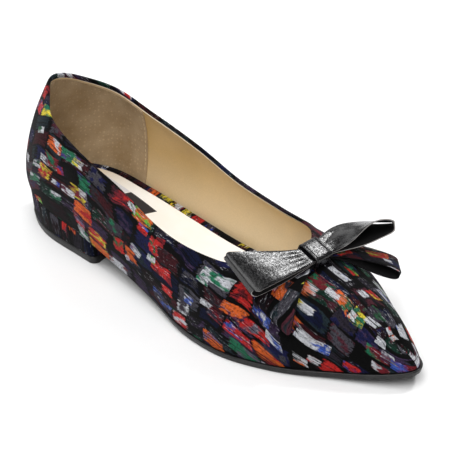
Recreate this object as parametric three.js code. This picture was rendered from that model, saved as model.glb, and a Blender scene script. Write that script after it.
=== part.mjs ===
// A pointed ballet flat for the right foot, with a low block heel and a two-layer bow.
// Millimetres, +Z up. X runs from heel to toe and Y to the wearer's left.
// The origin is on the floor, under the middle of the heel's top piece.
import * as THREE from "three";
import { mergeVertices } from "three/addons/utils/BufferGeometryUtils.js";

// Driving sizes of the last and the upper
const LENGTH = 256; // feather line, from the back of the heel to the tip of the toe
const BALL_WIDTH = 79;
const HEEL_HEIGHT = 19; // floor to heel seat at the back
const TOE_SPRING = 5.5; // how far the tip of the sole lifts
const BACK_HEIGHT = 79; // floor to topline at the back of the heel
const INSTEP = 60; // height of the last over its feather line, under the collar
const THROAT_AT = 0.72; // front of the opening, as a share of the length
const TURN_AT = 0.62; // where the topline starts to turn in
const HEEL_LEAN = 13; // how far the back leans forward at the topline
const HEEL_SWELL = 3; // how far the back stands out low down, without its lean
const NOSE = 12; // how far the toe's top lies behind its tip
const LEAN_START = 6; // height over the feather line where the back starts to lean
const UPPER_WALL = 1.8;

// Driving sizes of what lies under and inside the upper
const SOLE_THICK = 3;
const SOLE_EDGE = 1.2; // how far the sole stands out round the toe
const HEEL_LENGTH = 69;
const SOLE_BEVEL = 0.6; // how much smaller the sole's outline is underneath
const SHANK_INSET = 1.2; // how far the sole lies inside the feather line at the heel's breast
const SHANK_BEVEL = 3;
const HEEL_TAPER = 1.6; // how much smaller the heel's outline is at the top piece
const BREAST_HOLLOW = 3;
const TOP_PIECE = 4.2;
const TOP_PIECE_BEVEL = 0.4;
const INSOLE_THICK = 2.8;
const INSOLE_CROWN = 0.9;
const INSOLE_BEVEL = 0.4;
const INSOLE_TOE_ROOM = 1.4; // between the insole and the wall, inside the toe
const INSOLE_TIP = 0.93; // front of the insole, as a share of the length
const BAND_WIDTH = 4.6;
const BAND_THICK = 2.2;
const BAND_END = 0.62; // front ends of the band, as a share of the length
const GAP = 0.3; // between pieces that meet

// Driving sizes of the bow
const BOW_AT = 0.743; // middle of the bow, as a share of the length
const BOW_TILT = 22; // degrees that the knot slopes towards the toe
const BOW_REACH = 42; // how far the loops reach out from the middle
const STRAP_THICK = 0.8;
const STRAP_SLIT = 0.3; // between a strap's two layers, inside the knot
const WAIST_WIDTH = 10;
const LEATHER_WIDTH = 25;
const PRINT_WIDTH = 23;
const KNOT_WIDTH = 11;
const KNOT_LIFT = 0.3; // between the knot's underside and the vamp's ridge
const KNOT_ROOM = 0.8; // between the knot and the bows inside it
const BOW_SPLIT = 0.7; // between the printed bow and the leather one, inside the knot
const KNOT_SQUARENESS = 0.25; // 1 makes the knot's loop an ellipse, 0 a rectangle

// Where the standing loops end, in shares of BOW_REACH: out to the side, ahead and up. open is the room
// between a loop's layers, tilt its slope towards the toe and yaw its turn to the right, in degrees.
// bend is 1 for a loop that swings straight away from the knot and 2 for one that curves. rear is how
// far the layers part at the loop's rear edge, as a share of open. round is 1 for a loop with an
// elliptic end and 0 for a square one.
const LEATHER_LOOPS = {
  right: {
    out: 0.98, ahead: -0.26, up: 0.05, open: 0.15, tilt: 34, yaw: 0, bend: 1.25, rear: 0.7, round: 0.22,
  },
  left: {
    out: 1.03, ahead: 0.36, up: 0.02, open: 0.27, tilt: -26, yaw: 49, bend: 2, rear: 0.05, round: 0.5,
  },
};
const PRINT_LOOP_LEFT = {
  out: 0.9, ahead: 0.5, up: -0.36, open: 0.16, tilt: -8, yaw: 46, bend: 1.3, rear: 0.25, round: 0.5,
};

// The right printed loop lies on the vamp: out is measured over it
const PRINT_LOOP_RIGHT = { out: 0.9, ahead: 0.14, open: 0.07, rear: 1, round: 0.5 };

// The last's outline. right and left are half widths of the feather line as shares of BALL_WIDTH, climb
// is a share of the heel's rise and spring of the toe's, and rim is the topline's height as a share of
// BACK_HEIGHT.
const OUTLINE = [
  { at: 0, right: 0, left: 0, climb: 1, spring: 0, rim: 1 },
  { at: 0.04, right: 0.22, left: 0.22, climb: 0.99, spring: 0, rim: 0.98 },
  { at: 0.12, right: 0.34, left: 0.34, climb: 0.95, spring: 0, rim: 0.9 },
  { at: 0.23, right: 0.38, left: 0.36, climb: 0.78, spring: 0, rim: 0.79 },
  { at: 0.35, right: 0.42, left: 0.38, climb: 0.46, spring: 0, rim: 0.69 },
  { at: 0.47, right: 0.48, left: 0.39, climb: 0.2, spring: 0, rim: 0.575 },
  { at: 0.58, right: 0.56, left: 0.43, climb: 0.04, spring: 0, rim: 0.535 },
  { at: 0.68, right: 0.575, left: 0.47, climb: 0, spring: 0, rim: 0.53 },
  { at: 0.78, right: 0.48, left: 0.46, climb: 0, spring: 0, rim: 0.53 },
  { at: 0.88, right: 0.3, left: 0.3, climb: 0, spring: 0.24, rim: 0.53 },
  { at: 0.95, right: 0.17, left: 0.17, climb: 0, spring: 0.6, rim: 0.53 },
  { at: 1, right: 0, left: 0, climb: 0, spring: 1, rim: 0.53 },
];

// The last's sections. ridge is the height over the feather line as a share of INSTEP, bulge and crown
// are how much wider a section is low down and near its top, and rise is how steeply it starts.
const SECTIONS = [
  { at: 0, ridge: 1.08, bulge: 0.18, rise: 0.33, crown: 0.9 },
  { at: 0.04, ridge: 1.08, bulge: 0.18, rise: 0.33, crown: 0.9 },
  { at: 0.12, ridge: 1.07, bulge: 0.17, rise: 0.33, crown: 1.2 },
  { at: 0.23, ridge: 1.05, bulge: 0.17, rise: 0.33, crown: 1.25 },
  { at: 0.35, ridge: 1, bulge: 0.15, rise: 0.33, crown: 1.2 },
  { at: 0.47, ridge: 0.9, bulge: 0.12, rise: 0.33, crown: 1.12 },
  { at: 0.58, ridge: 0.79, bulge: 0.09, rise: 0.33, crown: 1.04 },
  { at: 0.68, ridge: 0.71, bulge: 0.07, rise: 0.36, crown: 0.98 },
  { at: 0.78, ridge: 0.565, bulge: 0.06, rise: 0.39, crown: 0.88 },
  { at: 0.88, ridge: 0.42, bulge: 0.05, rise: 0.43, crown: 0.74 },
  { at: 0.95, ridge: 0.28, bulge: 0.05, rise: 0.46, crown: 0.66 },
  { at: 1, ridge: 0.13, bulge: 0.05, rise: 0.5, crown: 0.6 },
];

// How the shape runs between and over the sections. Places and reaches are shares of the length.
const LEAN_REACH = 0.22; // how far from the back the lean dies out
const LEAN_MOST = 1.3; // over the topline the lean keeps growing up to this share of its height
const LEAN_POWER = 1.3; // 1 makes the lean straight, and more makes it curve
const NOSE_FROM = 0.85;
const THROAT_ROUNDNESS = 2.2; // 2 makes the throat an ellipse, and more makes it squarer
const BAND_FADE = 0.05; // length over which the insole widens ahead of the band
const TOE_ROOM_FROM = 0.8;
const TOE_ROOM_FADE = 0.1;
const CROWN_FADE = 0.4; // share of BALL_WIDTH below which the insole's crown flattens out
const LOOP_FROM = 0.15; // where a bow's layers start to part, as a share of the loop
const LOOP_FADE = 0.9; // share of the loop over which they part
const RIGHT = -1;
const LEFT = 1;

// How finely the surfaces are cut
const COLUMNS_BACK = 28;
const COLUMNS_VAMP = 14;
const ROWS = 9;
const SLAB_COLUMNS = 26;
const SLAB_ACROSS = 6;
const LOOP_STEPS = 44;
const KNOT_STEPS = 20;
const DRAPE_STEPS = 60;
const RIM_STEPS = 30;

const clamp = (value, low, high) => Math.min(high, Math.max(low, value));
const mix = (a, b, share) => a + (b - a) * share;
const smooth = (value) => {
  const share = clamp(value, 0, 1);
  return share * share * (3 - 2 * share);
};

// Turns a share of the length into an angle share, so that both ends of an outline come out round
const angleShare = (at) => Math.acos(1 - 2 * clamp(at, 0, 1)) / Math.PI;
const OUTLINE_ANGLES = OUTLINE.map((row) => angleShare(row.at));

// A smooth curve through one column of a table
function curve(rows, places, name, place) {
  const values = rows.map((row) => row[name]);
  const last = places.length - 1;
  let i = 0;
  while (i < last - 1 && place >= places[i + 1]) i += 1;
  const slopeOf = (k) => (values[k + 1] - values[k]) / (places[k + 1] - places[k]);
  const tangentAt = (k) => {
    if (k === 0) return slopeOf(0);
    if (k === last) return slopeOf(last - 1);
    const before = places[k] - places[k - 1];
    const after = places[k + 1] - places[k];
    return (slopeOf(k - 1) * after + slopeOf(k) * before) / (before + after);
  };
  const step = places[i + 1] - places[i];
  const t = clamp((place - places[i]) / step, 0, 1);
  const turned = 1 - t;
  return (
    values[i] * (1 + 2 * t) * turned * turned +
    tangentAt(i) * step * t * turned * turned +
    values[i + 1] * t * t * (3 - 2 * t) +
    tangentAt(i + 1) * step * t * t * (t - 1)
  );
}

const column = (rows, name, at) => curve(rows, rows.map((row) => row.at), name, at);

// The height of the last's bottom. Neither curve may dip under its flat stretch.
function floorAt(at) {
  const climb = Math.max(column(OUTLINE, "climb", at), 0);
  const spring = Math.max(column(OUTLINE, "spring", at), 0);
  return SOLE_THICK + GAP + climb * (HEEL_HEIGHT - SOLE_THICK) + spring * TOE_SPRING;
}

// The feather line of one side in plan, set in by a distance
function plan(at, side, inset = 0) {
  const name = side === RIGHT ? "right" : "left";
  const angle = angleShare(at);
  const small = 1e-4;
  const widthAt = (place) => curve(OUTLINE, OUTLINE_ANGLES, name, clamp(place, 0, 1)) * BALL_WIDTH;
  const low = Math.max(angle - small, 0);
  const high = Math.min(angle + small, 1);
  const slope = (widthAt(high) - widthAt(low)) / (high - low);
  const run = ((LENGTH * Math.PI) / 2) * Math.sin(Math.PI * angle);
  const size = Math.hypot(slope, run);
  return { x: at * LENGTH + (inset * slope) / size, width: widthAt(angle) - (inset * run) / size };
}

// A point of the last's surface: at along the shoe, t from the feather line up to the ridge
function skin(at, t, side, inset = 0) {
  const base = plan(at, side, inset);
  const mirrored = plan(at, -side, inset);
  const place = base.x * (1 - t) + ((base.x + mirrored.x) / 2) * t;
  const floor = floorAt(at);
  const height = column(SECTIONS, "ridge", at) * INSTEP - inset;
  const back = 1 - t;
  const lower = 3 * back * back * t;
  const upper = 3 * back * t * t;
  const wide = lower * (1 + column(SECTIONS, "bulge", at)) + upper * column(SECTIONS, "crown", at);
  const across = back ** 3 + wide;
  const rise = height * (lower * column(SECTIONS, "rise", at) + upper + t ** 3);
  const backRise = BACK_HEIGHT - HEEL_HEIGHT;
  const leanHeight = (rise - LEAN_START) / (backRise - LEAN_START);
  const heelShare = clamp(1 - at / LEAN_REACH, 0, 1) ** 2;
  const lean = heelShare * HEEL_LEAN * clamp(leanHeight, 0, LEAN_MOST) ** LEAN_POWER;
  const swellShare = Math.sqrt(clamp(rise / backRise, 0, 1));
  const swell = heelShare * HEEL_SWELL * 4 * swellShare * (1 - swellShare);
  const toeShare = clamp((at - NOSE_FROM) / (1 - NOSE_FROM), 0, 1) ** 2;
  const nose = toeShare * NOSE * (rise / height) ** 2;
  return new THREE.Vector3(place + lean - swell - nose, side * base.width * across, floor + rise);
}

// How far up its section the topline runs: level with the table's height, then turning in at the throat
function rimAt(at, side) {
  const wanted = column(OUTLINE, "rim", at) * BACK_HEIGHT;
  let low = 0;
  let high = 1;
  for (let step = 0; step < RIM_STEPS; step += 1) {
    const middle = (low + high) / 2;
    if (skin(at, middle, side).z < wanted) low = middle;
    else high = middle;
  }
  const turn = clamp((at - TURN_AT) / (THROAT_AT - TURN_AT), 0, 1);
  return mix(low, 1, 1 - Math.sqrt(1 - turn ** THROAT_ROUNDNESS));
}

// One closed mesh from patches of points. A patch is a grid whose rows and columns span its face.
function closedMesh(patches) {
  const positions = [];
  const push = (a, b, c) => positions.push(...a.toArray(), ...b.toArray(), ...c.toArray());
  for (const { grid, flip } of patches) {
    for (let i = 0; i + 1 < grid.length; i += 1) {
      for (let j = 0; j + 1 < grid[i].length; j += 1) {
        const [a, b, c, d] = [grid[i][j], grid[i + 1][j], grid[i + 1][j + 1], grid[i][j + 1]];
        if (flip) {
          push(a, c, b);
          push(a, d, c);
        } else {
          push(a, b, c);
          push(a, c, d);
        }
      }
    }
  }
  const soup = new THREE.BufferGeometry();
  soup.setAttribute("position", new THREE.Float32BufferAttribute(positions, 3));
  const merged = mergeVertices(soup, 1e-3);
  const corners = merged.index.array;
  const kept = [];
  for (let k = 0; k < corners.length; k += 3) {
    const [a, b, c] = [corners[k], corners[k + 1], corners[k + 2]];
    if (a !== b && b !== c && c !== a) kept.push(a, b, c);
  }
  if (volume(merged.attributes.position, kept) < 0) {
    for (let k = 0; k < kept.length; k += 3) [kept[k], kept[k + 1]] = [kept[k + 1], kept[k]];
  }
  merged.setIndex(kept);
  merged.computeVertexNormals();
  return merged;
}

function volume(position, corners) {
  const at = (index) => new THREE.Vector3().fromBufferAttribute(position, index);
  let sum = 0;
  for (let k = 0; k < corners.length; k += 3) {
    sum += at(corners[k]).dot(at(corners[k + 1]).cross(at(corners[k + 2])));
  }
  return sum / 6;
}

const steps = (count) => Array.from({ length: count + 1 }, (_, k) => k / count);
const roundEnds = (share) => (1 - Math.cos(Math.PI * share)) / 2;

// The upper: one hollow wall, open at the collar and underneath
function upperGeometry() {
  const behind = steps(COLUMNS_BACK).map((share) => THROAT_AT * roundEnds(share));
  const ahead = steps(COLUMNS_VAMP).slice(1);
  const vamp = ahead.map((share) => mix(THROAT_AT, 1, Math.sin((share * Math.PI) / 2)));
  const places = [...behind, ...vamp];
  const patches = [];
  for (const side of [RIGHT, LEFT]) {
    const tops = places.map((at) => (at < THROAT_AT ? rimAt(at, side) : 1));
    const wall = (inset) =>
      places.map((at, i) => steps(ROWS).map((share) => skin(at, share * tops[i], side, inset)));
    const outer = wall(0);
    const inner = wall(UPPER_WALL);
    const isLeft = side === LEFT;
    const bottom = places.map((_, i) => [outer[i][0], inner[i][0]]);
    const rim = behind.map((_, i) => [outer[i][ROWS], inner[i][ROWS]]);
    patches.push({ grid: outer, flip: isLeft }, { grid: inner, flip: !isLeft });
    patches.push({ grid: bottom, flip: !isLeft }, { grid: rim, flip: isLeft });
  }
  return closedMesh(patches);
}

// A plate that follows the feather line between two places. Each height and inset is a function of
// the place; crown lifts the middle of the top, and hollow pulls in the middle of the front end.
function slabGeometry({ from, to, topInset, bottomInset, top, bottom, crown = 0, hollow = 0 }) {
  const begin = angleShare(from);
  const end = angleShare(to);
  const places = steps(SLAB_COLUMNS).map((share) => roundEnds(mix(begin, end, share)));
  const across = steps(SLAB_ACROSS);
  const level = (inset, height, lift) =>
    places.map((at) => {
      const right = plan(at, RIGHT, inset(at));
      const left = plan(at, LEFT, inset(at));
      return across.map((share) => {
        const middle = 1 - (2 * share - 1) ** 2;
        const pulled = hollow * middle * smooth((at / to - 0.5) * 2);
        const fade = Math.min(1, (right.width + left.width) / (BALL_WIDTH * CROWN_FADE));
        const x = mix(right.x, left.x, share) - pulled;
        const y = mix(-right.width, left.width, share);
        return new THREE.Vector3(x, y, height(at) + lift * middle * fade);
      });
    });
  const upper = level(topInset, top, crown);
  const lower = level(bottomInset, bottom, 0);
  const edge = (k) => upper.map((row, i) => [lower[i][k], row[k]]);
  const cap = (i) => across.map((_, k) => [lower[i][k], upper[i][k]]);
  return closedMesh([
    { grid: upper, flip: false },
    { grid: lower, flip: true },
    { grid: edge(0), flip: false },
    { grid: edge(SLAB_ACROSS), flip: true },
    { grid: cap(0), flip: true },
    { grid: cap(SLAB_COLUMNS), flip: false },
  ]);
}

// A body swept through rings of points, closed on itself or capped at its ends
function sweepGeometry(rings, closed) {
  const loops = rings.map((ring) => [...ring, ring[0]]);
  const patches = [{ grid: closed ? [...loops, loops[0]] : loops, flip: false }];
  if (!closed) {
    const [a, b, c, d] = rings[0];
    const [e, f, g, h] = rings[rings.length - 1];
    patches.push({ grid: [[a, b], [d, c]], flip: true }, { grid: [[e, f], [h, g]], flip: false });
  }
  return closedMesh(patches);
}

const heelEnd = HEEL_LENGTH / LENGTH;
const insideWall = UPPER_WALL + GAP;

// The sole runs from the heel's breast to just past the toe, and thins under the arch
function outsoleGeometry() {
  const begin = heelEnd + GAP / LENGTH;
  const ahead = (at) => smooth((at - begin) / (BAND_END - begin));
  const edge = (at) => mix(SHANK_INSET, -SOLE_EDGE, ahead(at));
  return slabGeometry({
    from: begin,
    to: 1,
    topInset: edge,
    bottomInset: (at) => edge(at) + mix(SHANK_BEVEL, SOLE_BEVEL, ahead(at)),
    top: (at) => floorAt(at) - GAP,
    bottom: (at) => floorAt(at) - GAP - SOLE_THICK,
  });
}

function heelGeometry() {
  return slabGeometry({
    from: 0,
    to: heelEnd,
    topInset: () => 0,
    bottomInset: () => HEEL_TAPER,
    top: (at) => floorAt(at) - GAP,
    bottom: () => TOP_PIECE + GAP,
    hollow: BREAST_HOLLOW,
  });
}

function topPieceGeometry() {
  return slabGeometry({
    from: 0,
    to: heelEnd,
    topInset: () => HEEL_TAPER,
    bottomInset: () => HEEL_TAPER + TOP_PIECE_BEVEL,
    top: () => TOP_PIECE,
    bottom: () => 0,
    hollow: BREAST_HOLLOW,
  });
}

// The insole leaves room for the band behind the ball, and reaches the wall ahead of it
function insoleGeometry() {
  const bandRoom = BAND_WIDTH + GAP;
  const beside = (at) => bandRoom * (1 - smooth((at - BAND_END) / BAND_FADE));
  const inToe = (at) => INSOLE_TOE_ROOM * smooth((at - TOE_ROOM_FROM) / TOE_ROOM_FADE);
  const inset = (at) => insideWall + beside(at) + inToe(at);
  return slabGeometry({
    from: 0,
    to: INSOLE_TIP,
    topInset: (at) => inset(at) + INSOLE_BEVEL,
    bottomInset: inset,
    top: (at) => floorAt(at) + INSOLE_THICK,
    bottom: floorAt,
    crown: INSOLE_CROWN,
  });
}

// The band lies round the insole, from the ball on one side past the heel to the other
function bandGeometry() {
  const reach = angleShare(BAND_END);
  const corners = [
    { inset: insideWall, lift: 0 },
    { inset: insideWall + BAND_WIDTH, lift: 0 },
    { inset: insideWall + BAND_WIDTH, lift: BAND_THICK },
    { inset: insideWall, lift: BAND_THICK },
  ];
  const ringAt = (share) => {
    const side = share < 0 ? RIGHT : LEFT;
    const at = roundEnds(Math.abs(share) * reach);
    return corners.map(({ inset, lift }) => {
      const edge = plan(at, side, inset);
      return new THREE.Vector3(edge.x, side * edge.width, floorAt(at) + lift);
    });
  };
  return sweepGeometry(steps(2 * SLAB_COLUMNS).map((share) => ringAt(2 * share - 1)), false);
}

// The bow's own frame: u across the shoe, w along the vamp and v away from it
const bowBase = skin(BOW_AT, 1, LEFT);
const bowTilt = THREE.MathUtils.degToRad(BOW_TILT);

function bowPoint(u, v, w) {
  return new THREE.Vector3(
    bowBase.x + w * Math.cos(bowTilt) + v * Math.sin(bowTilt),
    bowBase.y + u,
    bowBase.z - w * Math.sin(bowTilt) + v * Math.cos(bowTilt),
  );
}

// How far a place on a bow is past the knot: 0 inside it and 1 at the end of the loop. share runs from
// -1 at the end of the loop on the right to 1 at the end of the one on the left.
const pastKnot = (share) => clamp((Math.abs(share) - LOOP_FROM) / (1 - LOOP_FROM), 0, 1);

// A standing loop swings and twists as it leaves the knot
function standingPoint(loop, share, v, w) {
  const far = pastKnot(share);
  const turned = mix(far, smooth(far), loop.bend - 1);
  const tilt = mix(bowTilt, THREE.MathUtils.degToRad(loop.tilt), turned);
  const yaw = THREE.MathUtils.degToRad(loop.yaw) * turned;
  const swung = far ** loop.bend;
  const slope = ((loop.bend * far ** (loop.bend - 1)) / (1 - LOOP_FROM)) * Math.sign(share);
  const middle = new THREE.Vector3(loop.ahead * swung, loop.out * share, loop.up * swung);
  const run = new THREE.Vector3(loop.ahead * slope, loop.out, loop.up * slope);
  const level = Math.cos(tilt);
  const wide = new THREE.Vector3(level * Math.cos(yaw), -level * Math.sin(yaw), -Math.sin(tilt));
  const high = new THREE.Vector3().crossVectors(wide, run).normalize();
  const centre = bowBase.clone().addScaledVector(middle, BOW_REACH);
  return centre.addScaledVector(wide, w).addScaledVector(high, v);
}

// A draped loop lies down along the vamp, at a distance over its surface from the ridge
function drapedPoint(loop, share, v, w) {
  const side = share < 0 ? RIGHT : LEFT;
  const far = Math.abs(share);
  const ahead = w * Math.cos(bowTilt) + loop.ahead * BOW_REACH * smooth(far);
  const at = BOW_AT + ahead / LENGTH;
  const fine = 1 / DRAPE_STEPS;
  let t = 1;
  let left = far * loop.out * BOW_REACH;
  let here = skin(at, t, side);
  while (left > 0 && t > fine) {
    const next = skin(at, t - fine, side);
    const stride = here.distanceTo(next);
    t -= fine * Math.min(1, left / stride);
    left -= stride;
    here = next;
  }
  const small = 0.002;
  const down = skin(at, Math.max(t - small, 0), side).sub(skin(at, Math.min(t + small, 1), side));
  const along = skin(at + small, t, side).sub(skin(at - small, t, side));
  const out = along.cross(down).multiplyScalar(side).normalize();
  return skin(at, t, side).addScaledVector(out, v);
}

// A strap whose two layers part into a loop on each side of the knot. height is where its middle runs
// inside the knot. A draped loop settles, so that its lower layer stays just off the vamp.
function bowBand({ width, right, left, height, isDraped }) {
  const pinch = (STRAP_THICK + STRAP_SLIT) / 2;
  const small = 0.02;
  const path = (turn) => {
    const share = Math.cos(turn);
    const loop = share < 0 ? right : left;
    const draped = isDraped && share < 0;
    const far = pastKnot(share);
    const parted = smooth(far / LOOP_FADE);
    const swell = (loop.open * BOW_REACH + STRAP_THICK) / 2;
    const middle = mix(height, draped ? swell + STRAP_THICK / 2 + GAP : height, share ** 2);
    const bend = Math.sign(Math.sin(turn)) * Math.abs(Math.sin(turn)) ** loop.round;
    const apart = mix(pinch, swell, parted) * bend;
    const rear = middle + mix(pinch, swell, parted * loop.rear) * bend;
    const half = mix(WAIST_WIDTH, width, far) / 2;
    const place = draped ? drapedPoint : standingPoint;
    const reach = loop.out * BOW_REACH;
    return { share, v: middle + apart, rear, reach, half, at: (a, b, c) => place(loop, a, b, c) };
  };
  const rings = Array.from({ length: LOOP_STEPS }, (_, k) => {
    const turn = (2 * Math.PI * (k + 0.5)) / LOOP_STEPS;
    const here = path(turn);
    const before = path(turn - small);
    const after = path(turn + small);
    const stepU = (after.share - before.share) * here.reach;
    const stepV = after.v - before.v;
    const grow = STRAP_THICK / 2 / Math.hypot(stepU, stepV);
    const out = { share: (stepV * grow) / here.reach, v: -stepU * grow };
    return [
      here.at(here.share + out.share, here.rear + out.v, -here.half),
      here.at(here.share + out.share, here.v + out.v, here.half),
      here.at(here.share - out.share, here.v - out.v, here.half),
      here.at(here.share - out.share, here.rear - out.v, -here.half),
    ];
  });
  return sweepGeometry(rings, true);
}

const strapStack = 2 * STRAP_THICK + STRAP_SLIT; // two layers of a strap with the slit between them
const knotFloor = KNOT_LIFT + STRAP_THICK; // top of the knot's own layer under the bows
const printHeight = knotFloor + KNOT_ROOM + strapStack / 2;
const leatherHeight = printHeight + strapStack + BOW_SPLIT;
const knotCeiling = leatherHeight + strapStack / 2 + KNOT_ROOM;

function leatherBowGeometry() {
  const { right, left } = LEATHER_LOOPS;
  return bowBand({ width: LEATHER_WIDTH, right, left, height: leatherHeight, isDraped: false });
}

function printBowGeometry() {
  const loops = { right: PRINT_LOOP_RIGHT, left: PRINT_LOOP_LEFT };
  return bowBand({ width: PRINT_WIDTH, ...loops, height: printHeight, isDraped: true });
}

// The knot is a strap wrapped round both bows
function knotGeometry() {
  const middle = (knotFloor + knotCeiling) / 2;
  const halfHigh = (knotCeiling - knotFloor) / 2;
  const halfLong = WAIST_WIDTH / 2 + KNOT_ROOM;
  const rounded = (value) => Math.sign(value) * Math.abs(value) ** KNOT_SQUARENESS;
  const rings = Array.from({ length: KNOT_STEPS }, (_, k) => {
    const turn = (2 * Math.PI * k) / KNOT_STEPS;
    const c = rounded(Math.cos(turn));
    const s = rounded(Math.sin(turn));
    const point = (u, grow) => bowPoint(u, middle + s * (halfHigh + grow), c * (halfLong + grow));
    const half = KNOT_WIDTH / 2;
    return [point(-half, 0), point(half, 0), point(half, STRAP_THICK), point(-half, STRAP_THICK)];
  });
  return sweepGeometry(rings, true);
}

const finishes = {
  print: { color: 0x3a3436, roughness: 0.92, metalness: 0 },
  black: { color: 0x18181a, roughness: 0.42, metalness: 0 },
  rubber: { color: 0x141414, roughness: 0.7, metalness: 0 },
  sock: { color: 0xe6dcc8, roughness: 0.75, metalness: 0 },
};

const shoe = new THREE.Group();
function addPiece(name, geometry, finish) {
  const mesh = new THREE.Mesh(geometry, new THREE.MeshStandardMaterial(finishes[finish]));
  mesh.name = name;
  shoe.add(mesh);
}

addPiece("outsole", outsoleGeometry(), "rubber");
addPiece("upper", upperGeometry(), "print");
addPiece("insole", insoleGeometry(), "sock");
addPiece("insole_band", bandGeometry(), "print");
addPiece("heel", heelGeometry(), "print");
addPiece("top_piece", topPieceGeometry(), "rubber");
addPiece("bow_print", printBowGeometry(), "print");
addPiece("bow_leather", leatherBowGeometry(), "black");
addPiece("bow_knot", knotGeometry(), "black");

// The shoe's origin is moved from the back of the heel to the middle of the top piece
shoe.position.x = -HEEL_LENGTH / 2;

const model = new THREE.Group();
model.add(shoe);

export default model;
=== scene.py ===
# A pointed ballet flat for the right foot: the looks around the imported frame.
# Shapes are worked out in millimetres in the shoe's own frame: X from the back of the heel to the
# toe, Y to the wearer's left and Z up. They are turned into the frame's metres when a mesh is made.
import math

import bmesh
import bpy
import numpy as np
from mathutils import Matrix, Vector


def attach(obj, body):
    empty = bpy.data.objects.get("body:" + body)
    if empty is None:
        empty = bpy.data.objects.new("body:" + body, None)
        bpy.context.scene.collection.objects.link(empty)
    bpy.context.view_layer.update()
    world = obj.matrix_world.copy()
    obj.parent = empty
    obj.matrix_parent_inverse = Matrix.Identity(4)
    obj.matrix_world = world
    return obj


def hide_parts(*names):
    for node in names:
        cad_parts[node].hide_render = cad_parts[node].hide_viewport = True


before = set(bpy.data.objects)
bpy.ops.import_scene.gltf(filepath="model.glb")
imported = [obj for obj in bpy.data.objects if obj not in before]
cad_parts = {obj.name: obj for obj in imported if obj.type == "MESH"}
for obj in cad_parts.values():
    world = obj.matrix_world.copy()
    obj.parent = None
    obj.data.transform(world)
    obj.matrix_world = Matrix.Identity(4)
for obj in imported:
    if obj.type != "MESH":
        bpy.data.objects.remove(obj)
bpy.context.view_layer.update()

# Sizes of the last and the upper, as in the part's source
LENGTH = 256.0
BALL_WIDTH = 79.0
HEEL_HEIGHT = 19.0
TOE_SPRING = 5.5
BACK_HEIGHT = 79.0
INSTEP = 60.0
THROAT_AT = 0.72
TURN_AT = 0.62
HEEL_LEAN = 13.0
HEEL_SWELL = 3.0
NOSE = 12.0
LEAN_START = 6.0
UPPER_WALL = 1.8
SOLE_THICK = 3.0
SOLE_EDGE = 1.2
SOLE_BEVEL = 0.6
SHANK_INSET = 1.2
SHANK_BEVEL = 3.0
HEEL_LENGTH = 69.0
HEEL_TAPER = 1.6
BREAST_HOLLOW = 3.0
TOP_PIECE = 4.2
INSOLE_THICK = 2.8
INSOLE_CROWN = 0.9
INSOLE_TOE_ROOM = 1.4
INSOLE_TIP = 0.93
BAND_WIDTH = 4.6
BAND_THICK = 2.2
BAND_END = 0.62
GAP = 0.3

# Sizes of the bow, as in the part's source
BOW_AT = 0.743
BOW_TILT = math.radians(22)
BOW_REACH = 42.0
STRAP_THICK = 0.8
STRAP_SLIT = 0.3
WAIST_WIDTH = 10.0
LEATHER_WIDTH = 25.0
PRINT_WIDTH = 23.0
KNOT_WIDTH = 11.0
KNOT_LIFT = 0.3
KNOT_ROOM = 0.8
BOW_SPLIT = 0.7
KNOT_SQUARENESS = 0.25
LOOP_COLUMNS = ("out", "ahead", "up", "open", "tilt", "yaw", "bend", "rear", "round")
LEATHER_LOOPS = {
    "right": (0.98, -0.26, 0.05, 0.15, 34, 0, 1.25, 0.7, 0.22),
    "left": (1.03, 0.36, 0.02, 0.27, -26, 49, 2, 0.05, 0.5),
}
PRINT_LOOPS = {
    "right": (0.9, 0.14, 0, 0.07, 0, 0, 2, 1, 0.5),
    "left": (0.9, 0.5, -0.36, 0.16, -8, 46, 1.3, 0.25, 0.5),
}

# The last's outline and sections, a column to a list, as in the part's source
OUTLINE = {
    "at": [0, 0.04, 0.12, 0.23, 0.35, 0.47, 0.58, 0.68, 0.78, 0.88, 0.95, 1],
    "right": [0, 0.22, 0.34, 0.38, 0.42, 0.48, 0.56, 0.575, 0.48, 0.3, 0.17, 0],
    "left": [0, 0.22, 0.34, 0.36, 0.38, 0.39, 0.43, 0.47, 0.46, 0.3, 0.17, 0],
    "climb": [1, 0.99, 0.95, 0.78, 0.46, 0.2, 0.04, 0, 0, 0, 0, 0],
    "spring": [0, 0, 0, 0, 0, 0, 0, 0, 0, 0.24, 0.6, 1],
    "rim": [1, 0.98, 0.9, 0.79, 0.69, 0.575, 0.535, 0.53, 0.53, 0.53, 0.53, 0.53],
}
SECTIONS = {
    "ridge": [1.08, 1.08, 1.07, 1.05, 1, 0.9, 0.79, 0.71, 0.565, 0.42, 0.28, 0.13],
    "bulge": [0.18, 0.18, 0.17, 0.17, 0.15, 0.12, 0.09, 0.07, 0.06, 0.05, 0.05, 0.05],
    "rise": [0.33, 0.33, 0.33, 0.33, 0.33, 0.33, 0.33, 0.36, 0.39, 0.43, 0.46, 0.5],
    "crown": [0.9, 0.9, 1.2, 1.25, 1.2, 1.12, 1.04, 0.98, 0.88, 0.74, 0.66, 0.6],
}
LEAN_REACH = 0.22
LEAN_MOST = 1.3
LEAN_POWER = 1.3
NOSE_FROM = 0.85
THROAT_ROUNDNESS = 2.2
BAND_FADE = 0.05
TOE_ROOM_FROM = 0.8
TOE_ROOM_FADE = 0.1
CROWN_FADE = 0.4
LOOP_FROM = 0.15
LOOP_FADE = 0.9

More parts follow.
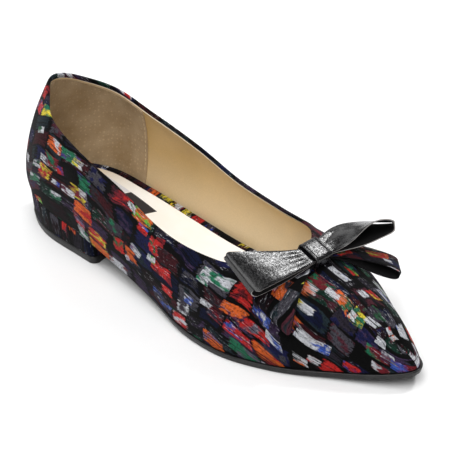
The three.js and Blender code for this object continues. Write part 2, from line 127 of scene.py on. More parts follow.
# Sizes that only the looks need
ROLL = UPPER_WALL / 2  # radius of the suede's turned edge along the topline
FOLD_DEPTH = 3.0  # how far the suede reaches down inside the topline
SUEDE_THICK = 0.9
LINING_DROP = 0.9  # from the top of the rolled edge down to the lining's cut edge
LINING_THICK = 0.5
LINING_CLEAR = 0.08  # between the lining's face and the wall of the part's source
GRIP_END = 0.2  # front seam of the heel grip, as a share of the length
GRIP_DROP = 0.6  # from the lining's cut edge down to the grip's
GRIP_CLEAR = 0.1
GRIP_THICK = 0.4
INSOLE_ROUNDING = 1.1  # radius of the insole's edges
INSOLE_SOFT = 4.0  # a higher power keeps the insole's crown level further out
HEEL_CORNER = 3.5  # radius of the heel's front corners
LOOP_CORNER = 2.4  # radius of the soft corners at the loops' ends
STRAP_EDGE = 0.12  # how far a strap's rounded edge reaches in
STRAP_EDGE_THICK = 0.62  # share of the strap's thickness that its edge keeps
KNOT_SOFTNESS = 0.15
RIGHT = -1
LEFT = 1
SIDES = (RIGHT, LEFT)

# Shifts of the print, so that it doesn't repeat from piece to piece
LEFT_PRINT_SHIFT = 400
BOW_PRINT_SHIFT = 90


def clamp(value, low, high):
    return np.minimum(high, np.maximum(low, value))


def mix(a, b, share):
    return a + (b - a) * share


def smooth(value):
    share = clamp(value, 0.0, 1.0)
    return share * share * (3 - 2 * share)


def steps(count):
    return np.linspace(0.0, 1.0, count + 1)


def round_ends(share):
    return (1 - np.cos(np.pi * share)) / 2


def unit(vectors):
    return vectors / np.maximum(np.linalg.norm(vectors, axis=-1, keepdims=True), 1e-12)


def signed_power(value, power):
    return np.sign(value) * np.abs(value) ** power


# The last

def angle_share(at):
    return np.arccos(1 - 2 * clamp(at, 0.0, 1.0)) / np.pi


PLACES = np.array(OUTLINE["at"], float)
ANGLES = angle_share(PLACES)


def curve(places, column, place):
    """A smooth curve through one column of a table."""
    values = np.array(column, float)
    gaps = np.diff(places)
    slopes = np.diff(values) / gaps
    tangents = np.empty_like(values)
    tangents[0] = slopes[0]
    tangents[-1] = slopes[-1]
    tangents[1:-1] = (slopes[:-1] * gaps[1:] + slopes[1:] * gaps[:-1]) / (gaps[:-1] + gaps[1:])
    place = np.asarray(place, float)
    i = clamp(np.searchsorted(places, place, side="right") - 1, 0, len(places) - 2)
    t = clamp((place - places[i]) / gaps[i], 0.0, 1.0)
    back = 1 - t
    low = values[i] * (1 + 2 * t) * back * back + tangents[i] * gaps[i] * t * back * back
    high = values[i + 1] * t * t * (3 - 2 * t) + tangents[i + 1] * gaps[i] * t * t * (t - 1)
    return low + high


def floor_at(at):
    climb = np.maximum(curve(PLACES, OUTLINE["climb"], at), 0)
    spring = np.maximum(curve(PLACES, OUTLINE["spring"], at), 0)
    return SOLE_THICK + GAP + climb * (HEEL_HEIGHT - SOLE_THICK) + spring * TOE_SPRING


def plan(at, side, inset=0.0):
    """The feather line of one side in plan, set in by a distance: x and half width."""
    column = OUTLINE["right" if side == RIGHT else "left"]
    angle = angle_share(at)
    low = np.maximum(angle - 1e-4, 0)
    high = np.minimum(angle + 1e-4, 1)
    slope = (curve(ANGLES, column, high) - curve(ANGLES, column, low)) * BALL_WIDTH / (high - low)
    run = LENGTH * np.pi / 2 * np.sin(np.pi * angle)
    size = np.hypot(slope, run)
    width = curve(ANGLES, column, angle) * BALL_WIDTH
    return at * LENGTH + inset * slope / size, width - inset * run / size


def skin(at, t, side, inset=0.0):
    """Points of the last: at along the shoe, t from the feather line up to the ridge."""
    at, t = np.broadcast_arrays(np.asarray(at, float), np.asarray(t, float))
    x, width = plan(at, side, inset)
    other, _ = plan(at, -side, inset)
    place = x * (1 - t) + (x + other) / 2 * t
    height = curve(PLACES, SECTIONS["ridge"], at) * INSTEP - inset
    back = 1 - t
    lower = 3 * back * back * t
    upper = 3 * back * t * t
    bulge = curve(PLACES, SECTIONS["bulge"], at)
    crown = curve(PLACES, SECTIONS["crown"], at)
    across = back**3 + lower * (1 + bulge) + upper * crown
    rise = height * (lower * curve(PLACES, SECTIONS["rise"], at) + upper + t**3)
    back_rise = BACK_HEIGHT - HEEL_HEIGHT
    lean_height = (rise - LEAN_START) / (back_rise - LEAN_START)
    heel_share = clamp(1 - at / LEAN_REACH, 0.0, 1.0) ** 2
    lean = heel_share * HEEL_LEAN * clamp(lean_height, 0.0, LEAN_MOST) ** LEAN_POWER
    swell_share = np.sqrt(clamp(rise / back_rise, 0.0, 1.0))
    swell = heel_share * HEEL_SWELL * 4 * swell_share * (1 - swell_share)
    toe_share = clamp((at - NOSE_FROM) / (1 - NOSE_FROM), 0.0, 1.0) ** 2
    nose = toe_share * NOSE * (rise / height) ** 2
    return np.stack([place + lean - swell - nose, side * width * across, floor_at(at) + rise], -1)


def normal(at, t, side):
    """The last's outward normals."""
    small = 1e-3
    angle = angle_share(at)
    ahead = skin(round_ends(np.minimum(angle + small, 1)), t, side)
    behind = skin(round_ends(np.maximum(angle - small, 0)), t, side)
    above = skin(at, np.minimum(t + small, 1), side)
    below = skin(at, np.maximum(t - small, 0), side)
    return unit(np.cross(ahead - behind, above - below)) * -side


def rim_at(at, side, drop=0.0):
    """How far up its section the topline runs, or a line that lies a drop below it."""
    wanted = curve(PLACES, OUTLINE["rim"], at) * BACK_HEIGHT - drop
    low = np.zeros_like(at)
    high = np.ones_like(at)
    for _ in range(30):
        middle = (low + high) / 2
        under = skin(at, middle, side)[..., 2] < wanted
        low = np.where(under, middle, low)
        high = np.where(under, high, middle)
    throat = THROAT_AT + drop / LENGTH
    turn = clamp((at - TURN_AT) / (throat - TURN_AT), 0.0, 1.0)
    return mix(low, 1.0, 1 - np.sqrt(1 - turn**THROAT_ROUNDNESS))


# Making objects

def add_object(name, data):
    thing = bpy.data.objects.new(name, data)
    bpy.context.scene.collection.objects.link(thing)
    return thing


def aim(thing, place, target):
    thing.location = place
    thing.rotation_euler = (target - place).to_track_quat("-Z", "Y").to_euler()


def to_frame(points):
    moved = np.array(points, float)
    moved[..., 0] -= HEEL_LENGTH / 2
    return moved / 1000


def build(name, patches, materials, sharp=40):
    """One mesh from patches: each is a grid of points, with a grid of UV in millimetres and a material."""
    points, faces, uvs, slots = [], [], [], []
    start = 0
    for patch in patches:
        grid = patch["points"]
        rows, columns = grid.shape[:2]
        uv = patch.get("uv", grid[..., :2])
        index = start + np.arange(rows * columns).reshape(rows, columns)
        corners = np.stack([index[:-1, :-1], index[1:, :-1], index[1:, 1:], index[:-1, 1:]], -1)
        points.append(to_frame(grid).reshape(-1, 3))
        uvs.append(np.asarray(uv, float).reshape(-1, 2))
        faces.append(corners.reshape(-1, 4))
        slots.append(np.full(len(faces[-1]), patch.get("material", 0)))
        start += rows * columns
    faces = np.concatenate(faces)
    mesh = bpy.data.meshes.new(name)
    mesh.from_pydata(np.concatenate(points).tolist(), [], faces.tolist())
    layer = mesh.uv_layers.new(name="print")
    layer.data.foreach_set("uv", np.concatenate(uvs)[faces.ravel()].astype(np.float32).ravel())
    mesh.polygons.foreach_set("material_index", np.concatenate(slots).astype(np.int32))
    for material in materials:
        mesh.materials.append(material)
    shape = bmesh.new()
    shape.from_mesh(mesh)
    bmesh.ops.remove_doubles(shape, verts=shape.verts, dist=2e-6)
    bmesh.ops.dissolve_degenerate(shape, edges=shape.edges, dist=1e-7)
    bmesh.ops.recalc_face_normals(shape, faces=shape.faces)
    shape.to_mesh(mesh)
    shape.free()
    mesh.shade_smooth()
    mesh.set_sharp_from_angle(angle=math.radians(sharp))
    piece = add_object(name, mesh)
    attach(piece, "root")
    return piece


def lengths_along(points, axis):
    """How far each point of a grid lies along one of its axes, in millimetres."""
    strides = np.linalg.norm(np.diff(points, axis=axis), axis=-1)
    zero = np.zeros_like(np.take(strides, [0], axis=axis))
    return np.concatenate([zero, np.cumsum(strides, axis=axis)], axis=axis)


# Materials

class Graph:
    """Builds one material's nodes. Its calls return sockets."""

    def __init__(self, name):
        self.material = bpy.data.materials.new(name)
        self.material.use_nodes = True
        self.nodes = self.material.node_tree.nodes
        self.links = self.material.node_tree.links
        self.shader = self.nodes["Principled BSDF"]

    def put(self, socket, value):
        if isinstance(value, bpy.types.NodeSocket):
            self.links.new(value, socket)
        else:
            socket.default_value = value

    def node(self, kind, inputs=(), **settings):
        node = self.nodes.new(kind)
        for key, value in settings.items():
            setattr(node, key, value)
        for key, value in dict(inputs).items():
            self.put(node.inputs[key], value)
        return node

    def math(self, operation, a, b=0.0):
        return self.node("ShaderNodeMath", {0: a, 1: b}, operation=operation).outputs[0]

    def add(self, a, b):
        return self.math("ADD", a, b)

    def multiply(self, a, b):
        return self.math("MULTIPLY", a, b)

    def spread(self, value, low, high, to_low=0.0, to_high=1.0):
        inputs = {"Value": value, "From Min": low, "From Max": high, "To Min": to_low, "To Max": to_high}
        return self.node("ShaderNodeMapRange", inputs, clamp=True).outputs[0]

    def vector(self, x, y, z=0.0):
        return self.node("ShaderNodeCombineXYZ", {"X": x, "Y": y, "Z": z}).outputs[0]

    def split(self, vector):
        return self.node("ShaderNodeSeparateXYZ", {0: vector}).outputs.values()

    def noise(self, vector, scale, detail=2.0, roughness=0.5):
        inputs = {"Vector": vector, "Scale": scale, "Detail": detail, "Roughness": roughness}
        return self.node("ShaderNodeTexNoise", inputs).outputs["Fac"]

    def cells(self, vector, scale, feature="F1", randomness=1.0):
        inputs = {"Vector": vector, "Scale": scale, "Randomness": randomness}
        return self.node("ShaderNodeTexVoronoi", inputs, feature=feature).outputs["Distance"]

    def random(self, vector):
        node = self.node("ShaderNodeTexWhiteNoise", {"Vector": vector}, noise_dimensions="3D")
        return node.outputs["Value"], node.outputs["Color"]

    def blend(self, a, b, factor, mode="MIX"):
        node = self.node("ShaderNodeMix", data_type="RGBA", blend_type=mode)
        self.put(node.inputs["Factor"], factor)
        self.put(node.inputs["A"], a)
        self.put(node.inputs["B"], b)
        return node.outputs["Result"]

    def shade(self, colour, tone):
        """The colour times a tone, where 1 leaves it as it is."""
        return self.blend(colour, self.vector(tone, tone, tone), 1.0, "MULTIPLY")

    def pick(self, value, colours):
        """One of the colours, chosen by a value from 0 to 1."""
        node = self.node("ShaderNodeValToRGB", {"Fac": value})
        node.color_ramp.interpolation = "CONSTANT"
        stops = node.color_ramp.elements
        for i, colour in enumerate(colours):
            place = i / len(colours)
            stop = stops[i] if i < 2 else stops.new(place)
            stop.position = place
            stop.color = colour
        return node.outputs["Color"]

    def uv(self):
        return self.node("ShaderNodeUVMap", uv_map="print").outputs[0]

    def place(self):
        """The point's place on the object, in millimetres."""
        inputs = {0: self.node("ShaderNodeTexCoord").outputs["Object"], 1: (1000, 1000, 1000)}
        return self.node("ShaderNodeVectorMath", inputs, operation="MULTIPLY").outputs[0]

    def bump(self, height, distance, strength=1.0):
        inputs = {"Height": height, "Distance": distance / 1000, "Strength": strength}
        self.put(self.shader.inputs["Normal"], self.node("ShaderNodeBump", inputs).outputs[0])

    def finish(self, colour, roughness, specular=0.5, **more):
        inputs = {"Base Color": colour, "Roughness": roughness, "Specular IOR Level": specular, **more}
        for name, value in inputs.items():
            self.put(self.shader.inputs[name.replace("_", " ")], value)
        return self.material


def rgb(red, green, blue):
    """A colour of 0 to 255 a channel as the screen shows it, in linear light and with its alpha."""
    return (*((channel / 255) ** 2.2 for channel in (red, green, blue)), 1)


# The print's paints: the muted ones lie under the lively ones
MUTED_PAINTS = [
    rgb(46, 42, 52), rgb(28, 26, 32), rgb(66, 28, 34), rgb(32, 34, 72), rgb(22, 54, 44), rgb(64, 50, 76),
    rgb(76, 74, 82), rgb(36, 20, 26), rgb(38, 50, 56), rgb(82, 42, 52), rgb(20, 26, 52), rgb(50, 46, 52),
]
LIVELY_PAINTS = [
    rgb(198, 200, 206), rgb(186, 40, 38), rgb(52, 46, 58), rgb(212, 96, 42), rgb(34, 108, 78),
    rgb(112, 30, 40), rgb(216, 198, 58), rgb(36, 56, 152), rgb(124, 100, 132), rgb(44, 92, 62),
    rgb(58, 86, 170), rgb(104, 172, 66), rgb(72, 56, 118), rgb(96, 90, 104), rgb(92, 46, 66),
]
FLECK = rgb(214, 216, 222)
SUEDE = rgb(7, 7, 8)


def dabs(graph, place, length, height, seed, share, paints):
    """One layer of brush dabs in loose rows. Returns their colour and how much they cover."""
    x, y, _ = graph.split(place)
    row_place = graph.add(graph.math("DIVIDE", y, height), seed)
    row = graph.math("FLOOR", row_place)
    shift, _ = graph.random(graph.vector(row, seed, 0.5))
    column_place = graph.add(graph.math("DIVIDE", x, length), graph.multiply(shift, 9.0))
    column = graph.math("FLOOR", column_place)
    chance, draws = graph.random(graph.vector(column, row, seed))
    tint, long, tall = graph.split(draws)
    _, more_draws = graph.random(graph.vector(column, row, seed + 7.7))
    second, slant, dryness = graph.split(more_draws)

    def strokes(along, across, offset, detail=2.0, roughness=0.5):
        stretched = graph.vector(
            graph.multiply(x, along), graph.multiply(y, across), graph.multiply(offset, 31.0),
        )
        return graph.noise(stretched, 1.0, detail, roughness)

    along_dab = graph.add(graph.math("FRACT", column_place), -0.5)
    across_dab = graph.add(graph.math("FRACT", row_place), -0.5)
    lean = graph.multiply(graph.add(slant, -0.5), 0.5)
    across_dab = graph.add(across_dab, graph.multiply(lean, along_dab))
    ragged = graph.multiply(graph.add(strokes(0.22, 1.2, tint, 3), -0.5), 1.3)
    wavering = graph.multiply(graph.add(strokes(0.3, 0.4, long), -0.5), 0.5)
    reach = graph.spread(long, 0, 1, 0.34, 0.52)
    tallness = graph.spread(tall, 0, 1, 0.3, 0.46)
    end = graph.add(graph.math("DIVIDE", graph.math("ABSOLUTE", along_dab), reach), ragged)
    edge = graph.add(graph.math("DIVIDE", graph.math("ABSOLUTE", across_dab), tallness), wavering)
    solid = graph.spread(graph.math("MAXIMUM", end, edge), 0.98, 1.1, 1, 0)
    streaks = graph.math("SUBTRACT", strokes(0.05, 1.15, second, 3, 0.6), graph.multiply(dryness, 0.17))
    dry = graph.spread(streaks, 0.25, 0.33)
    speckle = graph.spread(graph.noise(place, 0.9, 4, 0.85), 0.36, 0.5)
    present = graph.math("LESS_THAN", chance, share)
    cover = graph.multiply(graph.multiply(solid, dry), graph.multiply(speckle, present))
    both = graph.spread(strokes(0.16, 0.3, dryness), 0.5, 0.6)
    colour = graph.blend(graph.pick(tint, paints), graph.pick(second, paints), both)
    fleck = graph.multiply(
        graph.spread(strokes(0.25, 1.5, slant, 3, 0.7), 0.6, 0.66), graph.math("LESS_THAN", tall, 0.55),
    )
    colour = graph.blend(colour, FLECK, graph.multiply(fleck, 0.7))
    wash = graph.spread(strokes(0.1, 1.0, chance, 3, 0.6), 0.3, 0.7, 0.5, 1.15)
    return graph.shade(colour, wash), cover


def printed_suede(name, turned=False):
    graph = Graph(name)
    place = graph.uv()
    if turned:
        u, v, _ = graph.split(place)
        place = graph.vector(v, u)
    drift = graph.noise(place, 0.04, 1)
    away = graph.node("ShaderNodeVectorMath", {0: place, 1: (37, 11, 0)}).outputs[0]
    drift_two = graph.noise(away, 0.04, 1)
    x, y, _ = graph.split(place)
    warped = graph.vector(
        graph.add(x, graph.spread(drift, 0.3, 0.7, -4, 4)),
        graph.add(y, graph.spread(drift_two, 0.3, 0.7, -1.5, 1.5)),
    )
    low, low_cover = dabs(graph, warped, 17.0, 9.0, 3.0, 0.92, MUTED_PAINTS)
    high, high_cover = dabs(graph, warped, 13.5, 8.0, 11.5, 0.42, LIVELY_PAINTS)
    bits, bits_cover = dabs(graph, warped, 8.0, 4.5, 23.5, 0.1, LIVELY_PAINTS)
    pile = graph.noise(place, 2.2, 4, 0.7)
    painted = graph.blend(SUEDE, low, graph.multiply(low_cover, 0.85))
    painted = graph.blend(graph.blend(painted, high, high_cover), bits, bits_cover)
    nap_tone = graph.spread(pile, 0.25, 0.75, 0.6, 1.25)
    colour = graph.shade(painted, nap_tone)
    cover = graph.math("MAXIMUM", high_cover, bits_cover)
    roughness = graph.math("SUBTRACT", 0.95, graph.multiply(cover, 0.3))
    graph.bump(graph.add(pile, graph.multiply(cover, 0.6)), 0.14, 0.8)
    return graph.finish(colour, roughness, 0.12, Sheen_Weight=0.02, Sheen_Roughness=0.5)


def plain_suede(name, colour):
    graph = Graph(name)
    pile = graph.noise(graph.place(), 2.2, 4, 0.7)
    tone = graph.spread(pile, 0.25, 0.75, 0.6, 1.3)
    graph.bump(pile, 0.12, 0.7)
    napped = graph.shade(colour, tone)
    return graph.finish(napped, 0.95, 0.2, Sheen_Weight=0.04)


def black_leather():
    graph = Graph("black_leather")
    place = graph.place()
    grain = graph.cells(place, 1.4, "DISTANCE_TO_EDGE")
    pores = graph.noise(place, 4.0, 3, 0.7)
    mottle = graph.noise(place, 0.9, 4, 0.75)
    swell = graph.noise(place, 0.35)
    height = graph.add(graph.spread(grain, 0, 0.2, 0, 0.25), graph.multiply(pores, 0.35))
    graph.bump(graph.add(height, graph.multiply(swell, 3.0)), 0.07, 0.8)
    roughness = graph.spread(mottle, 0.38, 0.62, 0.13, 0.36)
    colour = graph.blend(rgb(12, 12, 13), rgb(22, 21, 23), mottle)
    return graph.finish(colour, roughness, 0.5)


def lining_leather(name, light, dark, grain_scale, grain_depth):
    """Smooth tan leather, with painted bounce light from the cream insole that makes it paler towards the
    insole.
    """
    graph = Graph(name)
    place = graph.place()
    _, _, z = graph.split(place)
    tone = graph.noise(place, 0.03, 4, 0.6)
    grain = graph.noise(place, grain_scale, 3, 0.65)
    colour = graph.blend(dark, light, graph.spread(tone, 0.3, 0.7))
    # Painted bounce light: the colour turns paler low down, towards the cream insole
    low = graph.spread(graph.add(z, graph.multiply(tone, 16.0)), 22, 48, 0.5, 0)
    colour = graph.blend(colour, rgb(220, 206, 178), low)
    fine = graph.spread(grain, 0.3, 0.7, 0.93, 1.05)
    colour = graph.shade(colour, fine)
    graph.bump(grain, grain_depth, 0.6)
    roughness = graph.spread(grain, 0.3, 0.7, 0.3, 0.46)
    return graph.finish(colour, roughness, 0.5)


def cream_leather():
    """The insole's cover, with a painted reflection of the tan lining that makes it browner towards the
    heel.
    """
    graph = Graph("insole_cream")
    place = graph.place()
    x, _, _ = graph.split(place)
    tone = graph.noise(place, 0.05, 3, 0.6)
    grain = graph.noise(place, 1.8, 3, 0.65)
    # Painted reflection of the tan lining: a mask that is strongest at the heel and fades forward
    heel = graph.spread(graph.add(x, graph.multiply(tone, 14.0)), -12, 26, 1, 0)
    pale = graph.blend(rgb(255, 254, 250), rgb(253, 249, 240), graph.spread(tone, 0.3, 0.7))
    colour = graph.blend(pale, rgb(226, 206, 172), heel)
    graph.bump(grain, 0.04, 0.6)
    return graph.finish(colour, 0.5, 0.35)


def grip_leather():
    graph = Graph("grip_pigskin")
    place = graph.uv()
    pits = graph.spread(graph.cells(place, 0.4, randomness=0.35), 0.1, 0.3)
    nap = graph.noise(place, 1.6, 4, 0.7)
    cloud = graph.noise(place, 0.05, 3, 0.6)
    ground = graph.blend(rgb(150, 126, 93), rgb(184, 162, 131), graph.spread(cloud, 0.3, 0.7))
    tone = graph.multiply(graph.spread(pits, 0, 1, 1.23, 0.97), graph.spread(nap, 0.3, 0.7, 0.9, 1.08))
    colour = graph.shade(ground, tone)
    graph.bump(graph.add(pits, graph.multiply(nap, 0.5)), 0.15, 0.6)
    return graph.finish(colour, 0.8, 0.25, Sheen_Weight=0.1)


def black_rubber(name, colour, low, high):
    graph = Graph(name)
    place = graph.place()
    fine = graph.noise(place, 2.5, 3, 0.6)
    scuff = graph.noise(place, 0.25, 4, 0.7)
    graph.bump(fine, 0.05, 0.5)
    tone = graph.blend(colour, rgb(46, 45, 46), graph.spread(scuff, 0.45, 0.8))
    roughness = graph.spread(scuff, 0.3, 0.7, low, high)
    return graph.finish(tone, roughness, 0.45)


def plain(name, colour, roughness, grain_scale, grain_depth):
    """A flat colour with a fine grain."""
    graph = Graph(name)
    grain = graph.noise(graph.place(), grain_scale, 3, 0.65)
    tone = graph.spread(grain, 0.3, 0.7, 0.85, 1.1)
    graph.bump(grain, grain_depth, 0.6)
    shaded = graph.shade(colour, tone)
    return graph.finish(shaded, roughness, 0.35)


print_upper = printed_suede("printed_suede")
print_heel = printed_suede("printed_suede_heel", turned=True)
suede_back = plain_suede("suede_back", rgb(16, 15, 17))
leather = black_leather()
leather_edge = plain("leather_edge", rgb(146, 142, 140), 0.6, 1.2, 0.05)
leather_back = plain("leather_back", rgb(17, 16, 17), 0.8, 1.6, 0.08)
lining = lining_leather("lining_tan", rgb(205, 173, 119), rgb(188, 155, 99), 1.6, 0.05)
lining_edge = lining_leather("lining_edge", rgb(236, 222, 196), rgb(222, 202, 168), 2.4, 0.04)
cream = cream_leather()
grip = grip_leather()
sole_black = black_rubber("sole_black", rgb(16, 16, 17), 0.32, 0.5)
thread = plain("thread", rgb(206, 184, 146), 0.7, 3.0, 0.05)
patch_pale = plain("patch_pale", rgb(226, 226, 229), 0.45, 2.0, 0.03)
patch_dark = plain("patch_dark", rgb(50, 48, 52), 0.5, 2.0, 0.03)


# The upper

COLUMNS_BACK = 150
COLUMNS_VAMP = 80
ROWS = 44
ROLL_STEPS = 8


def wall_places(drop):
    behind = (THROAT_AT + drop / LENGTH) * round_ends(steps(COLUMNS_BACK))
    ahead = mix(behind[-1], 1.0, np.sin(steps(COLUMNS_VAMP)[1:] * np.pi / 2))
    return behind, np.concatenate([behind, ahead])


def wall_tops(places, count, side, drop):
    """How far up its section the wall runs: to its edge, and to the ridge from the throat on."""
    tops = rim_at(places, side, drop)
    tops[count - 1:] = 1.0
    return tops


def girth_uv(places, shares, side):
    """The print lies along the shoe, and across it from the ridge outward."""
    fine = steps(80)
    section = skin(places[:, None], fine[None, :], side)
    girth = lengths_along(section[:, ::-1], 1)
    mean_edge = (skin(places, 0 * places, RIGHT) * [1, -1, 1] + skin(places, 0 * places, LEFT)) / 2
    run = lengths_along(mean_edge, 0)
    across = np.stack([np.interp(1 - shares[i], fine, girth[i]) for i in range(len(places))])
    return np.stack(np.broadcast_arrays(run[:, None], across * side), -1)


def wall_grid(places, tops, side, inset):
    shares = steps(ROWS)[None, :] * tops[:, None]
    return skin(places[:, None], shares, side, inset), shares


# Soft troughs and ridges. at and up say where the middle of each lies along the shoe
# and up its side. turn is its angle from level, long and wide are its size in millimetres, and depth
# is below zero for a trough.
CREASE_COLUMNS = ("side", "at", "up", "turn", "long", "wide", "depth")
CREASES = [
    (RIGHT, 0.615, 0.7, 64, 13, 3.0, -0.45),
    (RIGHT, 0.64, 0.66, 70, 15, 2.6, 0.3),
    (RIGHT, 0.662, 0.7, 76, 16, 3.0, -0.5),
    (RIGHT, 0.69, 0.62, 84, 14, 3.2, -0.35),
    (LEFT, 0.622, 0.68, 60, 14, 3.0, -0.4),
    (LEFT, 0.65, 0.66, 66, 15, 2.8, 0.3),
    (LEFT, 0.672, 0.7, 72, 16, 3.0, -0.45),
    (RIGHT, 0.4, 0.6, 6, 46, 9.0, -0.9),
    (LEFT, 0.39, 0.6, 4, 50, 10.0, -1.0),
    (RIGHT, 0.24, 0.5, 82, 26, 4.0, 0.35),
    (LEFT, 0.245, 0.5, 84, 28, 4.0, 0.35),
    (RIGHT, 0.09, 0.75, 12, 18, 4.5, -0.4),
    (LEFT, 0.1, 0.74, 10, 18, 4.5, -0.4),
    (RIGHT, 0.79, 0.5, -28, 20, 4.5, -0.4),
    (LEFT, 0.8, 0.52, -24, 20, 4.5, -0.35),
    (RIGHT, 0.5, 0.2, 4, 40, 4.0, 0.4),
    (LEFT, 0.47, 0.2, 3, 40, 4.0, 0.4),
]
PUCKERS = 13  # small folds on each side, where the suede is drawn in under the toe
PUCKER_FROM = 0.83
PUCKER_TO = 0.985
PUCKER_WIDE = 1.2
PUCKER_TALL = 3.5
PUCKER_DEPTH = 0.22
SEAM_WIDE = 0.7
SEAM_DEPTH = 0.3

# How sharply the relief fades out towards the sole, the topline and the ridge
SOLE_FADE = 14
RIM_FADE = 12
RIDGE_FADE = 8


def relief(places, shares, side):
    """How far the suede stands out from the last, or in, over a grid of the wall, with the back seam."""
    run = places[:, None] * LENGTH
    section = skin(places[:, None], steps(40)[None, :], side)
    girth = lengths_along(section, 1)
    rise = np.stack([np.interp(shares[i], steps(40), girth[i]) for i in range(len(places))])
    total = np.zeros(shares.shape)
    for row in CREASES:
        crease = dict(zip(CREASE_COLUMNS, row))
        if crease["side"] != side:
            continue
        middle = np.interp(crease["at"], places, girth[:, -1]) * crease["up"]
        ahead = run - crease["at"] * LENGTH
        above = rise - middle
        turn = math.radians(crease["turn"])
        along = ahead * math.cos(turn) + above * math.sin(turn)
        across = above * math.cos(turn) - ahead * math.sin(turn)
        fall = np.exp(-((along / crease["long"]) ** 2) - (across / crease["wide"]) ** 2)
        total += crease["depth"] * fall
    for k in range(PUCKERS):
        at = mix(PUCKER_FROM, PUCKER_TO, (k + 0.3 * math.sin(5.0 * k + side)) / PUCKERS)
        tall = PUCKER_TALL + 1.5 * math.cos(3.0 * k)
        total -= PUCKER_DEPTH * np.exp(-(((run - at * LENGTH) / PUCKER_WIDE) ** 2) - (rise / tall) ** 2)
    total -= SEAM_DEPTH * np.exp(-((run / SEAM_WIDE) ** 2))
    return total * smooth(shares * SOLE_FADE + 0.2)


def between(one, other, uv, material=0):
    """A narrow face between two lines of points."""
    return {"points": np.stack([one, other], 1), "uv": uv, "material": material}


def sheet_patches(front, back, uv):
    """A sheet's two faces, with the narrow one along its foot."""
    faces = [{"points": points, "uv": uv} for points in (front, back)]
    return [*faces, between(front[:, 0], back[:, 0], uv[:, :2])]


def suede_patches():
    behind, places = wall_places(ROLL)
    count = len(behind)
    rims = {side: wall_tops(places, count, side, ROLL) for side in SIDES}
    edge = {side: skin(behind, rims[side][:count], side) for side in SIDES}
    patches = []
    for side in SIDES:
        tops = rims[side]
        outer, shares = wall_grid(places, tops, side, 0.0)
        inner, _ = wall_grid(places, tops, side, SUEDE_THICK)
        fade = np.minimum(smooth((tops[:, None] - shares) * RIM_FADE), smooth((1 - shares) * RIDGE_FADE))
        stand = relief(places, shares, side) * fade
        outer = outer + normal(places[:, None], shares, side) * stand[..., None]
        uv = girth_uv(places, shares, side)
        out = normal(behind, tops[:count], side)
        before = np.vstack([edge[-side][1:2], edge[side][:-1]])
        after = np.vstack([edge[side][1:], edge[-side][-2:-1]])
        along = unit(after - before)
        up = unit(np.cross(out, along)) * -side
        centre = edge[side] - out * ROLL
        turns = np.linspace(0, np.pi, ROLL_STEPS + 1)
        roll = [centre + ROLL * (out * math.cos(a) + up * math.sin(a)) for a in turns]
        fold = roll[-1] - up * (ROLL + FOLD_DEPTH) + out * (UPPER_WALL - SUEDE_THICK) * 0.3
        roll = np.stack(roll + [fold, inner[:count, -1]], 1)
        over = np.stack(np.broadcast_arrays(0, side * lengths_along(roll, 1)), -1)
        patches += sheet_patches(outer, inner, uv)
        patches.append({"points": roll, "uv": uv[:count, -1:, :] - over})
    return patches


def lining_patches():
    behind, places = wall_places(LINING_DROP + ROLL)
    count = len(behind)
    patches = []
    for side in SIDES:
        tops = wall_tops(places, count, side, LINING_DROP + ROLL)
        front, shares = wall_grid(places, tops, side, UPPER_WALL + LINING_CLEAR)
        back, _ = wall_grid(places, tops, side, UPPER_WALL - LINING_THICK)
        uv = girth_uv(places, shares, side)
        patches += sheet_patches(front, back, uv)
        patches.append(between(front[:count, -1], back[:count, -1], uv[:count, :2], 1))
    return patches


def grip_patches():
    """The heel grip, from its seam round the back to the seam on the other side."""
    patches = []
    places = GRIP_END * round_ends(steps(90) / 2) * 2
    for side in SIDES:
        tops = rim_at(places, side, LINING_DROP + ROLL + GRIP_DROP)
        front, shares = wall_grid(places, tops, side, UPPER_WALL + GRIP_CLEAR + GRIP_THICK)
        back, _ = wall_grid(places, tops, side, UPPER_WALL + GRIP_CLEAR)
        uv = girth_uv(places, shares, side)
        patches += sheet_patches(front, back, uv)
        patches.append(between(front[:, -1], back[:, -1], uv[:, :2]))
        patches.append(between(front[-1], back[-1], uv[-1, :, None].repeat(2, 1)))
    return patches


upper = build("upper_suede", suede_patches(), [print_upper])
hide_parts("upper")
build("upper_lining", lining_patches(), [lining, lining_edge])
build("heel_grip", grip_patches(), [grip])


STITCH_BACK = 1.3  # from the grip's front seam
STITCH_BELOW = 3  # from the lining's cut edge
STITCH_FROM = 0.12  # how far up the side the row begins
STITCH_PITCH = 2.6
STITCH_LONG = 1.9
STITCH_WIDE = 0.34
STITCH_PROUD = 0.16
STITCH_PROFILE = [(0.0, 0.2), (0.25, 0.9), (0.5, 1.0), (0.75, 0.9), (1.0, 0.2)]


def stitch_patches(points, out):
    """A row of stitches along a line of points, each a small pillow."""
    run = lengths_along(points[None], 1)[0]
    near = 0.3

    def at(place, values):
        return np.array([np.interp(place, run, values[:, i]) for i in range(3)])

    patches = []
    for k in range(int(run[-1] / STITCH_PITCH)):
        rings = []
        for share, size in STITCH_PROFILE:
            place = (k + 0.2) * STITCH_PITCH + share * STITCH_LONG
            along = unit(at(place + near, points) - at(place - near, points))
            up = at(place, out)
            up = unit(up - along * np.dot(up, along))
            beside = np.cross(along, up) * STITCH_WIDE / 2 * size
            proud = up * STITCH_PROUD * size
            turns = np.linspace(0, 2 * np.pi, 7)
            rings.append([at(place, points) + beside * math.cos(a) + proud * math.sin(a) for a in turns])
        patches.append({"points": np.array(rings)})
    return patches


def grip_stitches():
    """One row through the grip on each side, just behind its front seam."""
    patches = []
    for side in SIDES:
        at = np.full(60, GRIP_END - STITCH_BACK / LENGTH)
        top = rim_at(at[:1], side, LINING_DROP + ROLL + STITCH_BELOW)[0]
        shares = np.linspace(STITCH_FROM, top, 60)
        line = skin(at, shares, side, UPPER_WALL + GRIP_CLEAR + GRIP_THICK)
        patches += stitch_patches(line, -normal(at, shares, side))
    return patches


build("grip_stitches", grip_stitches(), [thread])


# Plates that follow the feather line: sole, heel, top piece and insole

